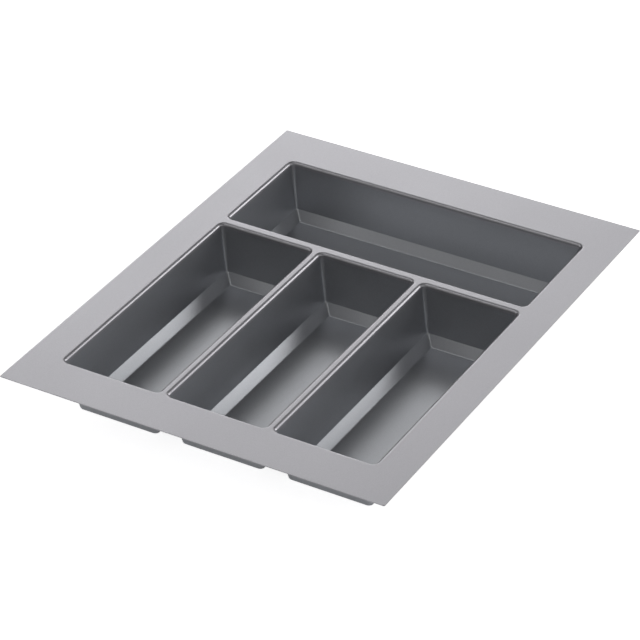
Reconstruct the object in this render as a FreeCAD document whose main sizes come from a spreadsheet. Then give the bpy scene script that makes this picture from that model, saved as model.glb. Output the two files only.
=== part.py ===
import FreeCAD, Part
import Sketcher
import os

# Cutlery tray for a drawer: a flat top frame that sits on the rims of four wells.
# The origin is on the floor, below the middle of the tray, with +Y to the back and +Z up.

# Driving sizes in millimetres
driving_sizes = {
    "tray_width": 380,
    "tray_depth": 492,
    "tray_height": 53,
    # Flat top of the frame
    "frame_thickness": 2,
    "edge_bevel": 1.6,
    # Its borders, dividers and openings, at the level where the wells begin
    "side_margin": 35.8,
    "front_margin": 47.9,
    "back_margin": 51.6,
    "divider_width": 10.5,
    "cross_divider_width": 12.95,
    "rear_opening_depth": 116.55,
    "opening_corner_radius": 4,
    "rim_depth": 4,
    "rim_radius": 3.6,
    # Locating ribs and skirt below the frame
    "rib_depth": 6,
    "skirt_wall": 2,
    "seat_clearance": 0.3,
    # Section of a well, the same on all four sides: leaning wall, then inside it a knee, a chamfer and the floor
    "well_wall": 2,
    "outer_lean": 9.2,
    "well_floor": 1.5,
    "wall_lean": 10.75,
    "chamfer_run": 8.65,
    "chamfer_rise": 8.65,
    "knee_corner_radius": 2,
    "floor_corner_radius": 1.5,
    "inner_crease_radius": 1.8,
    "base_edge_radius": 2.5,
    # How far a cut runs past the face that it leaves by
    "cut_overrun": 4,
}

# Sizes that follow from the driving ones
derived_sizes = {
    "group_width": "sizes.tray_width - 2 * sizes.side_margin",
    "front_opening_width": "(group_width - 2 * sizes.divider_width) / 3",
    "front_opening_depth": "sizes.tray_depth - sizes.front_margin - sizes.back_margin"
                           " - sizes.cross_divider_width - sizes.rear_opening_depth",
    "front_pitch": "front_opening_width + sizes.divider_width",
    "front_centre": "sizes.front_margin + (front_opening_depth - sizes.tray_depth) / 2",
    "rear_centre": "(sizes.tray_depth - sizes.rear_opening_depth) / 2 - sizes.back_margin",
    "group_depth": "sizes.tray_depth - sizes.front_margin - sizes.back_margin",
    "group_centre": "(sizes.front_margin - sizes.back_margin) / 2",
    "flange_height": "sizes.tray_height - sizes.frame_thickness",
    "rim_height": "sizes.tray_height - sizes.rim_depth",
    "knee_height": "sizes.well_floor + sizes.chamfer_rise",
    "wall_height": "rim_height - knee_height",
    "lean_slope": "sizes.wall_lean / wall_height",
    "corner_slope": "(sizes.opening_corner_radius - sizes.knee_corner_radius) / wall_height",
    # Outward steps from the opening's edge to the outside of the wall, at the rim and the base
    "rim_step": "sizes.well_wall * sqrt(1 + lean_slope ^ 2)",
    "base_step": "rim_step - sizes.outer_lean",
    # Outward steps from an opening to the seat below it and to the outside of the skirt
    "seat_step": "rim_step + sizes.seat_clearance",
    "skirt_step": "seat_step + sizes.skirt_wall",
    # Steps from an opening to the ends of its cut, which leans like the wall below it
    "cut_in": "sizes.cut_overrun * lean_slope",
    "cut_out": "(sizes.rim_depth + sizes.cut_overrun) * lean_slope",
}

# Each well's opening: width, depth and centre
front_size = ("derived.front_opening_width", "derived.front_opening_depth")
wells = {
    "left_well": (*front_size, "-derived.front_pitch", "derived.front_centre"),
    "middle_well": (*front_size, "0", "derived.front_centre"),
    "right_well": (*front_size, "derived.front_pitch", "derived.front_centre"),
    "rear_well": ("derived.group_width", "sizes.rear_opening_depth", "0", "derived.rear_centre"),
}

# Sections of a well, from the bottom up: height, step out from the opening's edge, corner radius
outer_sections = {
    "base": ("0", "derived.base_step", "sizes.knee_corner_radius + derived.rim_step"),
    "rim": ("derived.rim_height", "derived.rim_step", "sizes.opening_corner_radius + derived.rim_step"),
}
inner_sections = {
    "base": ("sizes.well_floor", "-sizes.chamfer_run - sizes.wall_lean", "sizes.floor_corner_radius"),
    "knee": ("derived.knee_height", "-sizes.wall_lean", "sizes.knee_corner_radius"),
    "mouth": ("derived.rim_height + sizes.cut_overrun", "sizes.cut_overrun * derived.lean_slope",
              "sizes.opening_corner_radius + sizes.cut_overrun * derived.corner_slope"),
}

# Ends of the cut that makes an opening in the frame, in the same form
opening_sections = {
    "below": ("derived.rim_height - sizes.cut_overrun", "-derived.cut_in",
              "sizes.opening_corner_radius - derived.cut_in"),
    "above": ("sizes.tray_height + sizes.cut_overrun", "derived.cut_out",
              "sizes.opening_corner_radius + derived.cut_out"),
}

# Two heights or edges closer than this share of the overall size count as one
level_share = 1e-6

doc = FreeCAD.newDocument("cutlery_tray")


def make_sizes():
    sheet = doc.addObject("Spreadsheet::Sheet", "sizes")
    for row, (alias, value) in enumerate(driving_sizes.items(), 1):
        sheet.set(f"A{row}", alias)
        sheet.set(f"B{row}", str(value))
        sheet.setAlias(f"B{row}", alias)
    doc.recompute()
    derived = doc.addObject("App::VarSet", "derived")
    for name, formula in derived_sizes.items():
        derived.addProperty("App::PropertyFloat", name, "Derived")
        derived.setExpression(name, formula)
    doc.recompute()
    return sheet, derived


def flat_sketch(body, name, x, y, z):
    """A sketch on the body's own XY plane, moved to the place that three formulas give."""
    sketch = body.newObject("Sketcher::SketchObject", name)
    plane = next(part for part in body.Origin.OriginFeatures if part.Role == "XY_Plane")
    sketch.AttachmentSupport = [(plane, "")]
    sketch.MapMode = "FlatFace"
    for axis, formula in zip("xyz", (x, y, z)):
        sketch.setExpression(f"AttachmentOffset.Base.{axis}", formula)
    return sketch


def value_of(sketch, formula):
    return float(sketch.evalExpression(formula))


def bind(sketch, constraint, formula):
    index = sketch.addConstraint(constraint)
    sketch.setExpression(f"Constraints[{index}]", formula)


def draw_rectangle(sketch, width, depth, radius=None):
    """A closed rectangle centred on the sketch's origin, with rounded corners if a radius is given."""
    half_x = value_of(sketch, width) / 2
    half_y = value_of(sketch, depth) / 2
    corner = value_of(sketch, radius) if radius else 0
    signs = ((-1, -1), (1, -1), (1, 1), (-1, 1))
    before = [FreeCAD.Vector(sx * half_x, sy * half_y, 0) for sx, sy in signs]
    sides = []
    for near, far in zip(before, before[1:] + before[:1]):
        along = (far - near).normalize() * corner
        sides.append(sketch.addGeometry(Part.LineSegment(near + along, far - along)))
    bottom, right, top, left = sides
    for side in (bottom, top):
        sketch.addConstraint(Sketcher.Constraint("Horizontal", side))
    for side in (right, left):
        sketch.addConstraint(Sketcher.Constraint("Vertical", side))
    if radius:
        join_with_arcs(sketch, sides, before, corner, radius)
    else:
        for side, following in zip(sides, sides[1:] + sides[:1]):
            sketch.addConstraint(Sketcher.Constraint("Coincident", side, 2, following, 1))
        sketch.addConstraint(Sketcher.Constraint("Symmetric", bottom, 1, top, 1, -1, 1))
    bind(sketch, Sketcher.Constraint("DistanceX", left, 1, right, 1, 2 * half_x), width)
    bind(sketch, Sketcher.Constraint("DistanceY", bottom, 1, top, 1, 2 * half_y), depth)


def join_with_arcs(sketch, sides, corners, corner, radius):
    """Rounds the corner at the end of each side of a rectangle."""
    arcs = []
    for index, side in enumerate(sides):
        point = corners[(index + 1) % len(corners)]
        middle = FreeCAD.Vector(point)
        middle.x -= corner if point.x > 0 else -corner
        middle.y -= corner if point.y > 0 else -corner
        start = sketch.Geometry[side].EndPoint
        end = sketch.Geometry[sides[(index + 1) % len(sides)]].StartPoint
        knuckle = middle + (point - middle).normalize() * corner
        arcs.append(sketch.addGeometry(Part.Arc(start, knuckle, end)))
    for index, arc in enumerate(arcs):
        following = sides[(index + 1) % len(sides)]
        sketch.addConstraint(Sketcher.Constraint("Tangent", sides[index], 2, arc, 1))
        sketch.addConstraint(Sketcher.Constraint("Tangent", arc, 2, following, 1))
        if index:
            sketch.addConstraint(Sketcher.Constraint("Equal", arcs[0], arc))
    bind(sketch, Sketcher.Constraint("Radius", arcs[0], corner), radius)
    sketch.addConstraint(Sketcher.Constraint("Symmetric", arcs[0], 3, arcs[2], 3, -1, 1))


def grown(size, step):
    """A formula for a width or depth that grows by a step on both sides."""
    return f"{size} + 2 * ({step})"


def add_loft(body, kind, name, size, sections, place=("0", "0")):
    """A ruled loft through sections of one well or opening."""
    width, depth = size
    sketches = []
    for level, (height, step, radius) in sections.items():
        sketch = flat_sketch(body, f"{name}_{level}", *place, height)
        draw_rectangle(sketch, grown(width, step), grown(depth, step), radius)
        sketches.append(sketch)
    doc.recompute()
    loft = body.newObject(kind, name)
    loft.Profile = sketches[0]
    loft.Sections = sketches[1:]
    loft.Ruled = True
    doc.recompute()
    return loft


def level_edges(shape, heights, reach=None):
    """Names of the flat edges at the given heights, and within reach of the middle if that is given."""
    near = level_share * shape.BoundBox.DiagonalLength
    names = []
    for index, edge in enumerate(shape.Edges, 1):
        box = edge.BoundBox
        flat = any(abs(box.ZMin - z) < near and abs(box.ZMax - z) < near for z in heights)
        far = max(abs(box.XMin), abs(box.XMax))
        if flat and (reach is None or far < reach - near):
            names.append(f"Edge{index}")
    return names


def ease_edges(body, kind, name, base, edges, length):
    """Rounds or bevels the named edges of a feature."""
    feature = body.newObject(f"PartDesign::{kind}", name)
    feature.Base = (base, edges)
    feature.setExpression({"Fillet": "Radius", "Chamfer": "Size"}[kind], length)
    doc.recompute()
    return feature


def add_extrusion(body, kind, sketch, name, length):
    doc.recompute()
    feature = body.newObject(kind, name)
    feature.Profile = sketch
    feature.setExpression("Length", length)
    doc.recompute()
    return feature


def check_cut(feature, before):
    if feature.Shape.Volume >= before:
        raise ValueError(f"{feature.Name} cut nothing")


def make_well(name, width, depth, x, y):
    """A tub with a closed floor, placed below its opening."""
    body = doc.addObject("PartDesign::Body", name)
    body.Label = name
    body.setExpression("Placement.Base.x", x)
    body.setExpression("Placement.Base.y", y)
    outside = add_loft(body, "PartDesign::AdditiveLoft", f"{name}_outside", (width, depth), outer_sections)
    inside = add_loft(body, "PartDesign::SubtractiveLoft", f"{name}_inside", (width, depth), inner_sections)
    check_cut(inside, outside.Shape.Volume)
    inner_levels = (sheet.well_floor, derived.knee_height)
    softened = ease_edges(body, "Fillet", f"{name}_inner_creases", inside, level_edges(inside.Shape, inner_levels),
                          "sizes.inner_crease_radius")
    ease_edges(body, "Fillet", f"{name}_base_edge", softened, level_edges(softened.Shape, (0,)),
               "sizes.base_edge_radius")
    return body


def make_frame(name):
    """The flat top with its four openings, and below it ribs that keep the wells in place."""
    body = doc.addObject("PartDesign::Body", name)
    body.Label = name
    plate = flat_sketch(body, f"{name}_outline", "0", "0", "derived.flange_height")
    draw_rectangle(plate, "sizes.tray_width", "sizes.tray_depth")
    slab = add_extrusion(body, "PartDesign::Pad", plate, f"{name}_plate", "sizes.frame_thickness")
    ease_edges(body, "Chamfer", f"{name}_edge", slab, level_edges(slab.Shape, (derived.flange_height,)),
               "sizes.edge_bevel")
    block = flat_sketch(body, f"{name}_skirt_outline", "0", "derived.group_centre",
                        "derived.flange_height - sizes.rib_depth")
    draw_rectangle(block, grown("derived.group_width", "derived.skirt_step"),
                   grown("derived.group_depth", "derived.skirt_step"),
                   "sizes.opening_corner_radius + derived.skirt_step")
    solid = add_extrusion(body, "PartDesign::Pad", block, f"{name}_skirt", "sizes.rib_depth")
    for well, (width, depth, x, y) in wells.items():
        before = solid.Shape.Volume
        seat = flat_sketch(body, f"{well}_seat_outline", x, y, "derived.rim_height")
        draw_rectangle(seat, grown(width, "derived.seat_step"), grown(depth, "derived.seat_step"),
                       "sizes.opening_corner_radius + derived.seat_step")
        solid = add_extrusion(body, "PartDesign::Pocket", seat, f"{well}_seat", "sizes.rib_depth + sizes.cut_overrun")
        check_cut(solid, before)
    for well, (width, depth, x, y) in wells.items():
        before = solid.Shape.Volume
        solid = add_loft(body, "PartDesign::SubtractiveLoft", f"{well}_opening", (width, depth), opening_sections, (x, y))
        check_cut(solid, before)
    rims = level_edges(solid.Shape, (sheet.tray_height,), sheet.tray_width / 2)
    ease_edges(body, "Fillet", f"{name}_rims", solid, rims, "sizes.rim_radius")
    return body


def check_document():
    for item in doc.Objects:
        if "Invalid" in item.State or "Error" in item.State:
            raise ValueError(f"{item.Name} failed")


def write_parts(bodies):
    check_document()
    for body in bodies:
        shape = body.Shape
        if shape.isNull() or not shape.isValid() or len(shape.Solids) != 1:
            raise ValueError(f"{body.Label} is not one valid solid")
    os.makedirs("parts", exist_ok=True)
    for body in bodies:
        body.Shape.exportStep(f"parts/{body.Label}.step")
        box = body.Shape.optimalBoundingBox()
        print(f"{body.Label}: {box.XLength:.1f} x {box.YLength:.1f} x {box.ZLength:.1f} mm,"
              f" {body.Shape.Volume / 1000:.1f} cm3")


sheet, derived = make_sizes()
pieces = [make_frame("top_frame")]
for well_name, placing in wells.items():
    pieces.append(make_well(well_name, *placing))
doc.recompute()
write_parts(pieces)
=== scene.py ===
import math
import bmesh, bpy
from mathutils import Matrix, Vector


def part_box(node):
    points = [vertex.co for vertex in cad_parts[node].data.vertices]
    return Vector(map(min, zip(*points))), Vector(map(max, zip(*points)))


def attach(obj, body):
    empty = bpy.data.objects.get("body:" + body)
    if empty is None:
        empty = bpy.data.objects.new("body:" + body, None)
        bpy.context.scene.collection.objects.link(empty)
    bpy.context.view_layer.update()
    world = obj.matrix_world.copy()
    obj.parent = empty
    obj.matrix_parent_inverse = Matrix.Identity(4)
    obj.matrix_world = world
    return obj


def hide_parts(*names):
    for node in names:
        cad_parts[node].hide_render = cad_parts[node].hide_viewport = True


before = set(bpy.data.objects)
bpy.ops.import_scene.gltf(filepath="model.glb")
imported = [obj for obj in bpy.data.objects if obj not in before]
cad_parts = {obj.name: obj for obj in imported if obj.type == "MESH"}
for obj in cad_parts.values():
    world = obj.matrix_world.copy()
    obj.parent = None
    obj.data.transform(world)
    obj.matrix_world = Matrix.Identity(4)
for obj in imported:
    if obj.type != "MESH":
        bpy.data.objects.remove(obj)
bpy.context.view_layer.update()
scene = bpy.context.scene
scene.view_settings.view_transform = "Standard"


class Wire:  # an output socket: operators add Math nodes, node() adds any other
    def __init__(self, tree, socket=None):
        self.tree, self.socket = tree, socket

    def node(self, kind, settings=None, sockets=None):
        made = self.tree.nodes.new(kind)
        for name, value in (settings or {}).items():
            if name == "choices":  # how many values an Index Switch picks from
                while len(made.index_switch_items) < value:
                    made.index_switch_items.new()
            else:
                setattr(made, name, value)
        for name, value in (sockets or {}).items():
            port = made.inputs[name] if isinstance(name, int) else next(
                p for p in made.inputs if p.name == name and p.enabled)
            for one in value if isinstance(value, list) else [value]:
                if isinstance(one, Wire):
                    self.tree.links.new(one.socket, port)
                else:
                    port.default_value = one
        return Wire(self.tree, next((p for p in made.outputs if p.enabled), None))

    def out(self, name):  # another output of the same node
        return Wire(self.tree, next(p for p in self.socket.node.outputs if p.name == name and p.enabled))

    def maths(self, operation, *values):
        return self.node("ShaderNodeMath", {"operation": operation}, dict(enumerate(values)))

    def __add__(self, other): return self.maths("ADD", self, other)
    def __radd__(self, other): return self.maths("ADD", other, self)
    def __sub__(self, other): return self.maths("SUBTRACT", self, other)
    def __rsub__(self, other): return self.maths("SUBTRACT", other, self)
    def __mul__(self, other): return self.maths("MULTIPLY", self, other)
    def __truediv__(self, other): return self.maths("DIVIDE", self, other)
    def __neg__(self): return self.maths("MULTIPLY", self, -1.0)
    def __gt__(self, other): return self.maths("GREATER_THAN", self, other)
    def __lt__(self, other): return self.maths("LESS_THAN", self, other)


def freshNodes(owner):  # the empty shader tree of a material or world
    owner.use_nodes = True
    owner.node_tree.nodes.clear()
    return Wire(owner.node_tree)


# camera

shot = {"azimuth": 29.9584, "elevation": 33.2329, "roll": -0.2145, "lens": 175.043, "sensor": 36, "reach": 50,
        "distance": 2.76172, "target": (0.006858, -0.032387, 0.053)}


def makeCamera(look):
    azimuth, elevation = math.radians(look["azimuth"]), math.radians(look["elevation"])
    back = Vector((math.sin(azimuth) * math.cos(elevation), -math.cos(azimuth) * math.cos(elevation),
                   math.sin(elevation)))
    data = bpy.data.cameras.new("camera")
    data.lens, data.sensor_width, data.clip_end = look["lens"], look["sensor"], look["reach"]
    camera = bpy.data.objects.new("camera", data)
    scene.collection.objects.link(camera)
    turn = (-back).to_track_quat("-Z", "Y").to_matrix().to_4x4()
    camera.matrix_world = (Matrix.Translation(Vector(look["target"]) + back * look["distance"]) @ turn
                           @ Matrix.Rotation(math.radians(look["roll"]), 4, "Z"))
    scene.camera = camera


makeCamera(shot)
print("camera set")


# satin silver plastic: metallic pigment under a fine moulded grain

finish = {"metallic": 0.85, "flake": 0.05, "flakeSize": 0.00045, "driftScale": 14.0, "toneDrift": 0.06,
          "roughnessDrift": 0.03, "grainRoughness": 0.05}
frameFinish = {**finish, "colour": (0.498, 0.492, 0.519), "roughness": 0.345,
               "grainSize": 0.0009, "grainDepth": 0.000012}
# wells: the same silver plastic as the frame, its grey set a little darker here as painted shade for the deep wells
wellFinishWithPaintedShade = {**finish, "colour": (0.451, 0.462, 0.486), "roughness": 0.335,
              "grainSize": 0.0011, "grainDepth": 0.000016}


def satinPlastic(name, look):
    material = bpy.data.materials.new(name)
    start = freshNodes(material)
    place = start.node("ShaderNodeTexCoord").out("Object")
    drift = start.node("ShaderNodeTexNoise", {}, {"Vector": place, "Scale": look["driftScale"], "Detail": 3.0})
    cells = start.node("ShaderNodeTexVoronoi", {}, {"Vector": place, "Scale": 1 / look["flakeSize"]})
    flake = start.node("ShaderNodeSeparateColor", {}, {"Color": cells.out("Color")})  # one random number for each flake
    grain = start.node("ShaderNodeTexNoise", {}, {"Vector": place, "Scale": 1 / look["grainSize"],
                                                 "Detail": 2.0, "Roughness": 0.6})
    tone = 1 + (flake - 0.5) * 2 * look["flake"] + (drift - 0.5) * look["toneDrift"]
    colour = start.node("ShaderNodeVectorMath", {"operation": "SCALE"}, {0: look["colour"], "Scale": tone})
    rough = look["roughness"] + (drift - 0.5) * 2 * look["roughnessDrift"] + (grain - 0.5) * look["grainRoughness"]
    bump = start.node("ShaderNodeBump", {}, {"Height": grain, "Distance": look["grainDepth"], "Strength": 1.0})
    skin = start.node("ShaderNodeBsdfPrincipled", {}, {"Base Color": colour, "Metallic": look["metallic"],
                                                      "Roughness": rough, "Normal": bump})
    start.node("ShaderNodeOutputMaterial", {}, {"Surface": skin})
    return material


framePlastic = satinPlastic("framePlastic", frameFinish)
wellPlasticWithPaintedShade = satinPlastic("wellPlasticWithPaintedShade", wellFinishWithPaintedShade)
print("finishes mixed")


# geometry trees: rounded rectangles lofted through a filleted section

meshing = {"perCorner": 12, "wellArc": 8, "rimArc": 12, "edgeArc": 4, "joinDistance": 2e-5,
           "hardAngle": math.radians(40), "flatness": 100,
           "cornerSquash": 0.01, "cornerStretch": 100}  # squashed corner radii don't skew the fillets


def newTree(name, sizes):
    tree = bpy.data.node_groups.new(name, "GeometryNodeTree")
    tree.interface.new_socket("Geometry", in_out="OUTPUT", socket_type="NodeSocketGeometry")
    for label in sizes:
        tree.interface.new_socket(label, in_out="INPUT", socket_type="NodeSocketFloat")
    return Wire(tree).node("NodeGroupInput")


def closeTree(start, shape, material):  # joins the seams, keeps hard edges hard and ends the tree
    shape = start.node("GeometryNodeRealizeInstances", {}, {"Geometry": shape})
    shape = start.node("GeometryNodeMergeByDistance", {}, {"Geometry": shape, "Distance": meshing["joinDistance"]})
    shape = start.node("GeometryNodeSetShadeSmooth", {"domain": "FACE"}, {"Geometry": shape, "Shade Smooth": True})
    hard = start.node("GeometryNodeInputMeshEdgeAngle").out("Unsigned Angle") > meshing["hardAngle"]
    shape = start.node("GeometryNodeSetShadeSmooth", {"domain": "EDGE"},
                       {"Geometry": shape, "Selection": hard, "Shade Smooth": False})
    shape = start.node("GeometryNodeSetMaterial", {}, {"Geometry": shape, "Material": material})
    start.node("NodeGroupOutput", {}, {"Geometry": shape})
    return start.tree


def roundedPoint(column, perCorner, width, depth, step, corner):  # x and y of a point on a rounded rectangle
    quarter = column.maths("FLOOR", column / perCorner)
    angle = (quarter + (column - quarter * perCorner) / (perCorner - 1)) * (math.pi / 2)
    middle = (quarter + 0.5) * (math.pi / 2)

    def along(wave, length):
        centre = middle.maths(wave, middle) * math.sqrt(2) * (length / 2 + step - corner)
        return centre + angle.maths(wave, angle) * corner

    return along("COSINE", width), along("SINE", depth)


def section(start, points, arc):  # a polyline of (step, squashed corner, height) with its own rounding at each point
    index = start.node("GeometryNodeInputIndex")
    spots = {"Index": index}
    rounds = {"Index": index}
    for order, (step, corner, height, rounding) in enumerate(points):
        spots[order + 1] = start.node("ShaderNodeCombineXYZ", {}, {
            "X": step, "Y": corner * meshing["cornerSquash"], "Z": height})
        rounds[order + 1] = rounding
    spot = start.node("GeometryNodeIndexSwitch", {"data_type": "VECTOR", "choices": len(points)}, spots)
    rounding = start.node("GeometryNodeIndexSwitch", {"data_type": "FLOAT", "choices": len(points)}, rounds)
    line = start.node("GeometryNodePoints", {}, {"Count": len(points), "Position": spot})
    line = start.node("GeometryNodePointsToCurves", {}, {"Points": line})
    return start.node("GeometryNodeFilletCurve", {"mode": "POLY"},
                      {"Curve": line, "Count": arc, "Radius": rounding, "Limit Radius": True})


def loft(start, line, perCorner, width, depth, poles=False):
    rows = start.node("GeometryNodeAttributeDomainSize", {"component": "CURVE"}, {"Geometry": line})
    index = start.node("GeometryNodeInputIndex")
    column = index.maths("FLOOR", index / rows)
    row = index - column * rows
    here = start.node("GeometryNodeSampleIndex", {"data_type": "FLOAT_VECTOR", "domain": "POINT"},
                      {"Geometry": line, "Value": start.node("GeometryNodeInputPosition"), "Index": row})
    here = start.node("ShaderNodeSeparateXYZ", {}, {"Vector": here})
    x, y = roundedPoint(column, perCorner, width, depth, here, here.out("Y") * meshing["cornerStretch"])
    if poles:  # the first and last rows close in the middle
        spread = (row > 0.5) * (row < rows - 1.5)
        x, y = x * spread, y * spread
    grid = start.node("GeometryNodeMeshGrid", {}, {"Size X": 1.0, "Size Y": 1.0, "Vertices X": 4 * perCorner + 1,
                                                  "Vertices Y": rows})
    spot = start.node("ShaderNodeCombineXYZ", {}, {"X": x, "Y": y, "Z": here.out("Z")})
    grid = start.node("GeometryNodeSetPosition", {}, {"Geometry": grid, "Position": spot})
    return start.node("GeometryNodeFlipFaces", {}, {"Mesh": grid})  # a section that runs down faces outwards


def ring(start, perCorner, width, depth, step, corner):  # the same rounded rectangle as a closed curve
    circle = start.node("GeometryNodeMeshCircle", {"fill_type": "NONE"}, {"Vertices": 4 * perCorner, "Radius": 1.0})
    x, y = roundedPoint(start.node("GeometryNodeInputIndex"), perCorner, width, depth, step, corner)
    spot = start.node("ShaderNodeCombineXYZ", {}, {"X": x, "Y": y})
    circle = start.node("GeometryNodeSetPosition", {}, {"Geometry": circle, "Position": spot})
    return start.node("GeometryNodeMeshToCurve", {}, {"Mesh": circle})


def grow(name, tree, sizes, material):  # runs a tree once and keeps its result as a plain mesh
    piece = bpy.data.objects.new(name, bpy.data.meshes.new(name))
    piece.data.materials.append(material)
    growth = piece.modifiers.new("grow", "NODES")
    growth.node_group = tree
    for item in tree.interface.items_tree:
        if item.in_out == "INPUT":
            growth[item.identifier] = float(sizes[item.name])
    flats = piece.modifiers.new("flats", "WEIGHTED_NORMAL")  # large faces keep their own normals
    flats.weight, flats.keep_sharp = meshing["flatness"], True
    scene.collection.objects.link(piece)
    bpy.context.view_layer.update()
    mesh = bpy.data.meshes.new_from_object(piece.evaluated_get(bpy.context.evaluated_depsgraph_get()))
    piece.modifiers.clear()
    piece.data = mesh
    test = bmesh.new()
    test.from_mesh(mesh)
    faults = sum(not e.is_manifold or not e.is_contiguous for e in test.edges)
    volume = round(test.calc_volume(signed=True) * 1e6, 1)
    print(name, len(test.faces), "faces", faults, "open or turned edges", volume, "cm3")
    test.free()
    return piece


# wells: leaning wall, knee, chamfer and floor, the same on all four sides

wellSizes = {"wall": 0.002, "outerLean": 0.0092, "floor": 0.0015, "lean": 0.01075, "chamferRun": 0.00865,
             "chamferRise": 0.00865, "rimCorner": 0.004, "kneeCorner": 0.002, "floorCorner": 0.0015,
             "innerCrease": 0.0018, "baseEdge": 0.0025, "flatStrip": 0.01}


def wellSteps(sizes, rim):  # the outside is a plain wall, steeper than the inside, that runs down to the base
    knee = sizes["floor"] + sizes["chamferRise"]
    slope = sizes["lean"] / (rim - knee)
    rimStep = sizes["wall"] * math.sqrt(1 + slope ** 2)
    return {"slope": slope, "rimStep": rimStep, "kneeHeight": knee, "baseStep": rimStep - sizes["outerLean"]}


def wellTree(material):
    labels = ("width", "depth", "rimHeight", "floor", "lean", "chamferRun", "rimCorner", "kneeCorner", "floorCorner",
              "innerCrease", "baseEdge", "flatStrip", "rimStep", "kneeHeight", "baseStep")
    start = newTree("wellShell", labels)
    s = {label: start.out(label) for label in labels}
    inward = -(s["lean"] + s["chamferRun"])
    baseCorner = s["kneeCorner"] + s["rimStep"]
    points = (
        (inward - s["flatStrip"], s["floorCorner"], s["floor"], 0.0),
        (inward, s["floorCorner"], s["floor"], s["innerCrease"]),
        (-s["lean"], s["kneeCorner"], s["kneeHeight"], s["innerCrease"]),
        (0.0, s["rimCorner"], s["rimHeight"], 0.0),
        (s["rimStep"], s["rimCorner"] + s["rimStep"], s["rimHeight"], 0.0),
        (s["baseStep"], baseCorner, 0.0, s["baseEdge"]),
        (s["baseStep"] - s["flatStrip"], baseCorner, 0.0, 0.0),
    )
    line = section(start, points, meshing["wellArc"])
    shell = loft(start, line, meshing["perCorner"], s["width"], s["depth"], poles=True)
    return closeTree(start, shell, material)


wellShell = wellTree(wellPlasticWithPaintedShade)
openings = {}
for node, name in (("left_well", "leftWell"), ("middle_well", "middleWell"), ("right_well", "rightWell"),
                   ("rear_well", "rearWell")):
    low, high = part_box(node)
    steps = wellSteps(wellSizes, high.z)
    opening = {"width": high.x - low.x - 2 * steps["rimStep"], "depth": high.y - low.y - 2 * steps["rimStep"],
               "x": (low.x + high.x) / 2, "y": (low.y + high.y) / 2}
    openings[node] = opening
    well = grow(name, wellShell, {**wellSizes, **steps, **opening, "rimHeight": high.z}, wellPlasticWithPaintedShade)
    well.data.transform(Matrix.Translation((opening["x"], opening["y"], 0)))  # the object stays at the origin
    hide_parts(node)
    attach(well, "wells")
print("wells made")


# top frame: flat flange with four rimmed openings, and a skirt below that holds the wells

frameSizes = {"thickness": 0.002, "outerCorner": 0.0012, "outerEdge": 0.0002, "edgeBevel": 0.0016, "rimRound": 0.0036,
              "rimLand": 0.0042, "seatClearance": 0.0003, "skirtWall": 0.002, "skirtEdge": 0.0004, "skirtLand": 0.001,
              "edgeLand": 0.0015}


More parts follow.
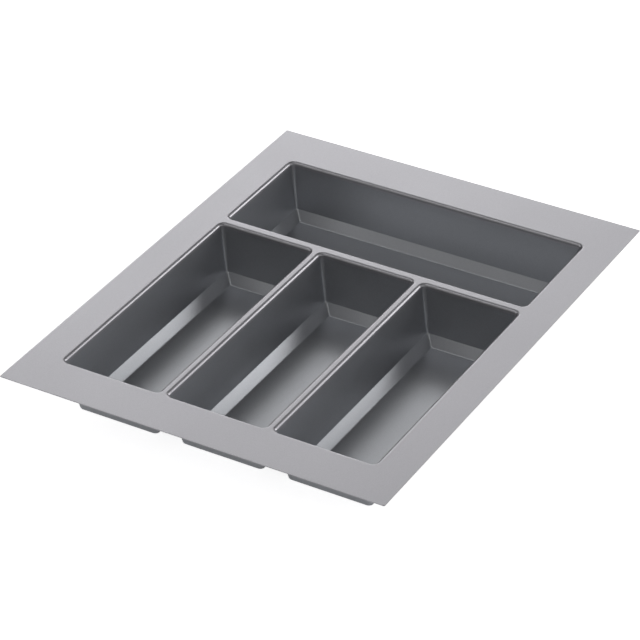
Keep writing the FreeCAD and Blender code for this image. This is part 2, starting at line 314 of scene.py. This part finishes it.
def frameTree(material):
    labels = ("trayWidth", "trayDepth", "top", "under", "seat", "foot", "frontWidth", "frontDepth", "frontY", "pitch",
              "rearWidth", "rearDepth", "rearY", "groupDepth", "groupY", "openingCorner", "rimLean", "rimRound",
              "rimLand", "seatStep", "skirtStep", "skirtEdge", "skirtLand", "outerCorner", "outerEdge", "edgeBevel",
              "edgeLand")
    start = newTree("topFrame", labels)
    s = {label: start.out(label) for label in labels}
    perCorner = meshing["perCorner"]
    innerCorner = s["outerCorner"] * 0.5
    topStep, underStep = -s["edgeLand"], -s["edgeLand"] - s["edgeBevel"]  # where the flat faces start
    seatLand = s["seatStep"] + s["skirtEdge"] * 2
    skirtFootStep = s["skirtStep"] - s["skirtEdge"] * 2
    skirtTopStep = s["skirtStep"] + s["skirtLand"]
    rim = section(start, (
        (s["rimLand"], s["openingCorner"] + s["rimLand"], s["top"], 0.0),
        (s["rimLean"], s["openingCorner"] + s["rimLean"], s["top"], s["rimRound"]),
        (0.0, s["openingCorner"], s["seat"], 0.0),
        (s["seatStep"], s["openingCorner"] + s["seatStep"], s["seat"], 0.0),
        (s["seatStep"], s["openingCorner"] + s["seatStep"], s["foot"], s["skirtEdge"]),
        (seatLand, s["openingCorner"] + seatLand, s["foot"], 0.0),
    ), meshing["rimArc"])
    edge = section(start, (
        (topStep, innerCorner, s["top"], 0.0),
        (0.0, s["outerCorner"], s["top"], s["outerEdge"]),
        (0.0, s["outerCorner"], s["under"] + s["edgeBevel"], s["outerEdge"] * 0.5),
        (-s["edgeBevel"], innerCorner, s["under"], s["outerEdge"] * 0.5),
        (underStep, innerCorner, s["under"], 0.0),
    ), meshing["edgeArc"])
    skirt = section(start, (
        (skirtTopStep, s["openingCorner"] + skirtTopStep, s["under"], 0.0),
        (s["skirtStep"], s["openingCorner"] + s["skirtStep"], s["under"], s["skirtEdge"]),
        (s["skirtStep"], s["openingCorner"] + s["skirtStep"], s["foot"], s["skirtEdge"]),
        (skirtFootStep, s["openingCorner"] + skirtFootStep, s["foot"], 0.0),
    ), meshing["edgeArc"])
    row = start.node("GeometryNodeMeshLine", {"mode": "OFFSET", "count_mode": "TOTAL"}, {
        "Count": 3,
        "Start Location": start.node("ShaderNodeCombineXYZ", {}, {"X": -s["pitch"], "Y": s["frontY"]}),
        "Offset": start.node("ShaderNodeCombineXYZ", {}, {"X": s["pitch"]})})
    rearSpot = start.node("ShaderNodeCombineXYZ", {}, {"Y": s["rearY"]})
    groupSpot = start.node("ShaderNodeCombineXYZ", {}, {"Y": s["groupY"]})

    def atOpenings(front, rear):  # three in front side by side, and the wide one behind
        front = start.node("GeometryNodeInstanceOnPoints", {}, {"Points": row, "Instance": front})
        rear = start.node("GeometryNodeTransform", {}, {"Geometry": rear, "Translation": rearSpot})
        return [start.node("GeometryNodeRealizeInstances", {}, {"Geometry": front}), rear]

    def openingRings(step):
        corner = s["openingCorner"] + step
        return atOpenings(ring(start, perCorner, s["frontWidth"], s["frontDepth"], step, corner),
                          ring(start, perCorner, s["rearWidth"], s["rearDepth"], step, corner))

    def sheet(rings, height, facing):  # a flat face with holes
        face = start.node("GeometryNodeJoinGeometry", {}, {"Geometry": rings})
        face = start.node("GeometryNodeFillCurve", {"mode": "TRIANGLES"}, {"Curve": face})
        lift = start.node("ShaderNodeCombineXYZ", {}, {"Z": height})
        face = start.node("GeometryNodeTransform", {}, {"Geometry": face, "Translation": lift})
        return face if facing == "up" else start.node("GeometryNodeFlipFaces", {}, {"Mesh": face})

    def atGroup(shape):
        return start.node("GeometryNodeTransform", {}, {"Geometry": shape, "Translation": groupSpot})

    def outerRing(step):
        return ring(start, perCorner, s["trayWidth"], s["trayDepth"], step, innerCorner)

    def skirtRing(step):
        return atGroup(ring(start, perCorner, s["rearWidth"], s["groupDepth"], step, s["openingCorner"] + step))

    rims = atOpenings(loft(start, rim, perCorner, s["frontWidth"], s["frontDepth"]),
                      loft(start, rim, perCorner, s["rearWidth"], s["rearDepth"]))
    rims = start.node("GeometryNodeJoinGeometry", {}, {"Geometry": rims})
    whole = start.node("GeometryNodeJoinGeometry", {}, {"Geometry": [
        sheet([outerRing(topStep), *openingRings(s["rimLand"])], s["top"], "up"),
        sheet([outerRing(underStep), skirtRing(skirtTopStep)], s["under"], "down"),
        sheet([skirtRing(skirtFootStep), *openingRings(seatLand)], s["foot"], "down"),
        loft(start, edge, perCorner, s["trayWidth"], s["trayDepth"]),
        atGroup(loft(start, skirt, perCorner, s["rearWidth"], s["groupDepth"])),
        start.node("GeometryNodeFlipFaces", {}, {"Mesh": rims})]})
    return closeTree(start, whole, material)


low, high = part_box("top_frame")
front, rear = openings["middle_well"], openings["rear_well"]
frontEdge, backEdge = front["y"] - front["depth"] / 2, rear["y"] + rear["depth"] / 2
under, seat = high.z - frameSizes["thickness"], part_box("rear_well")[1].z
seatStep = steps["rimStep"] + frameSizes["seatClearance"]
topFrame = grow("topFrame", frameTree(framePlastic), {
    **frameSizes, "trayWidth": high.x - low.x, "trayDepth": high.y - low.y,
    "top": high.z, "under": under, "seat": seat, "foot": low.z,
    "frontWidth": front["width"], "frontDepth": front["depth"], "frontY": front["y"],
    "pitch": openings["right_well"]["x"] - front["x"], "rearWidth": rear["width"], "rearDepth": rear["depth"],
    "rearY": rear["y"], "groupDepth": backEdge - frontEdge, "groupY": (backEdge + frontEdge) / 2,
    "openingCorner": wellSizes["rimCorner"], "rimLean": steps["slope"] * (high.z - seat),
    "seatStep": seatStep, "skirtStep": seatStep + frameSizes["skirtWall"]}, framePlastic)
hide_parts("top_frame")
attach(topFrame, "frame")
print("top frame made")


# studio: pale floor, soft sky and softboxes

white = (1, 1, 1, 1)
floorLook = {"size": 8.0, "colour": (0.85, 0.85, 0.85, 1), "glow": 0.85, "glossyGlow": 0.7, "underGlow": 0.25,
             "near": 0.03, "far": 0.11}


def ease(value, low, high, start=0.0, end=1.0):  # a soft step from start to end
    return value.node("ShaderNodeMapRange", {"interpolation_type": "SMOOTHSTEP"}, {
        "Value": value, "From Min": low, "From Max": high, "To Min": start, "To Max": end})


def makeSheet(name, width, depth):
    x, y = width / 2, depth / 2
    mesh = bpy.data.meshes.new(name)
    mesh.from_pydata([(-x, -y, 0), (x, -y, 0), (x, y, 0), (-x, y, 0)], [], [(0, 1, 2, 3)])
    sheet = bpy.data.objects.new(name, mesh)
    scene.collection.objects.link(sheet)
    return sheet


def makeFloor(look):
    floor = makeSheet("floor", look["size"], look["size"])
    material = bpy.data.materials.new("paleFloor")
    start = freshNodes(material)
    light = start.node("ShaderNodeLightPath")
    clear = ease(light.out("Ray Length"), look["near"], look["far"],
                 look["underGlow"], look["glossyGlow"])  # painted shadow: the floor seen in reflections close under the tray glows less
    seen = light.out("Is Camera Ray") * look["glow"] + light.out("Is Glossy Ray") * clear \
        + light.out("Is Transmission Ray") * look["glow"]
    paint = start.node("ShaderNodeBsdfDiffuse", {}, {"Color": look["colour"]})
    glow = start.node("ShaderNodeEmission", {}, {"Color": white, "Strength": seen})
    start.node("ShaderNodeOutputMaterial", {}, {"Surface": start.node("ShaderNodeAddShader", {}, {0: paint, 1: glow})})
    floor.data.materials.append(material)


makeFloor(floorLook)
print("floor laid")

skyLook = {"dim": 0.01, "sideEdge": 8.0, "levelEdge": 3.0}
softboxes = [  # painted on the sky, in degrees: azimuth is 0 at the back and positive to the right
    {"azimuth": -23, "halfWidth": 13, "low": 4, "high": 19, "strength": 1.6},
    {"azimuth": -35, "halfWidth": 20, "low": 22, "high": 33, "strength": 2.0},
    {"azimuth": -41, "halfWidth": 16, "low": 26, "high": 40, "strength": 0.5},
    {"azimuth": -15, "halfWidth": 45, "low": 33, "high": 47, "strength": 0.25},
    {"azimuth": -110, "halfWidth": 19, "low": 28, "high": 41, "strength": 1.9},
    {"azimuth": -135, "halfWidth": 45, "low": 60, "high": 76, "strength": 1.4},
    {"azimuth": -145, "halfWidth": 30, "low": 30, "high": 50, "strength": 0.27},
    {"azimuth": 29, "halfWidth": 12, "low": 0, "high": 27, "strength": 2.6},
    {"azimuth": 45, "halfWidth": 14, "low": 2, "high": 20, "strength": 0.7},
    {"azimuth": 90, "halfWidth": 40, "low": 20, "high": 55, "strength": 0.5},
    {"azimuth": 150, "halfWidth": 45, "low": 14, "high": 48, "strength": 0.24},
    {"azimuth": 0, "halfWidth": 200, "low": 76, "high": 120, "strength": 0.5},  # all round, straight above
]
panel = {"azimuth": 30, "elevation": 26.5, "distance": 0.9, "width": 0.3, "height": 0.22, "strength": 1.7}


def makeSky(look, boxes):
    scene.world = bpy.data.worlds.new("studioSky")
    start = freshNodes(scene.world)
    fullTurn, degree = 360.0, 180 / math.pi
    way = start.node("ShaderNodeSeparateXYZ", {}, {"Vector": start.node("ShaderNodeTexCoord").out("Generated")})
    elevation = way.maths("ARCSINE", way.out("Z")) * degree
    azimuth = way.maths("ARCTAN2", way.out("X"), way.out("Y")) * degree

    def past(value, limit, soft):
        return ease(value, limit - soft, limit + soft)

    level = look["dim"]
    for box in boxes:
        turn = azimuth - box["azimuth"] + 1.5 * fullTurn
        aside = turn.maths("ABSOLUTE", turn.maths("MODULO", turn, fullTurn) - fullTurn / 2)
        across = 1 - past(aside, box["halfWidth"], look["sideEdge"])
        below, above = (past(elevation, box[edge], look["levelEdge"]) for edge in ("low", "high"))
        inside = across * below * (1 - above)
        level = inside * box["strength"] + level
    seen = start.node("ShaderNodeLightPath").out("Is Camera Ray")
    level = level * (1 - seen) + seen  # the camera itself sees plain white
    sky = start.node("ShaderNodeBackground", {}, {"Color": white, "Strength": level})
    start.node("ShaderNodeOutputWorld", {}, {"Surface": sky})


def makePanel(look):  # a softbox near the back right corner, so that the wells further right get less of it
    softbox = makeSheet("panel", look["width"], look["height"])
    softbox.visible_camera = False
    azimuth, elevation = math.radians(look["azimuth"]), math.radians(look["elevation"])
    way = Vector((math.sin(azimuth) * math.cos(elevation), math.cos(azimuth) * math.cos(elevation),
                  math.sin(elevation)))
    turn = way.to_track_quat("-Z", "Y").to_matrix().to_4x4()
    softbox.data.transform(Matrix.Translation(way * look["distance"]) @ turn)
    material = bpy.data.materials.new("panelGlow")
    start = freshNodes(material)
    front = 1 - start.node("ShaderNodeNewGeometry").out("Backfacing")
    glow = start.node("ShaderNodeEmission", {}, {"Color": white, "Strength": front * look["strength"]})
    cloth = start.node("ShaderNodeAddShader", {}, {0: glow, 1: start.node("ShaderNodeBsdfTransparent")})
    start.node("ShaderNodeOutputMaterial", {}, {"Surface": cloth})
    softbox.data.materials.append(material)


makeSky(skyLook, softboxes)
makePanel(panel)
print("sky lit")
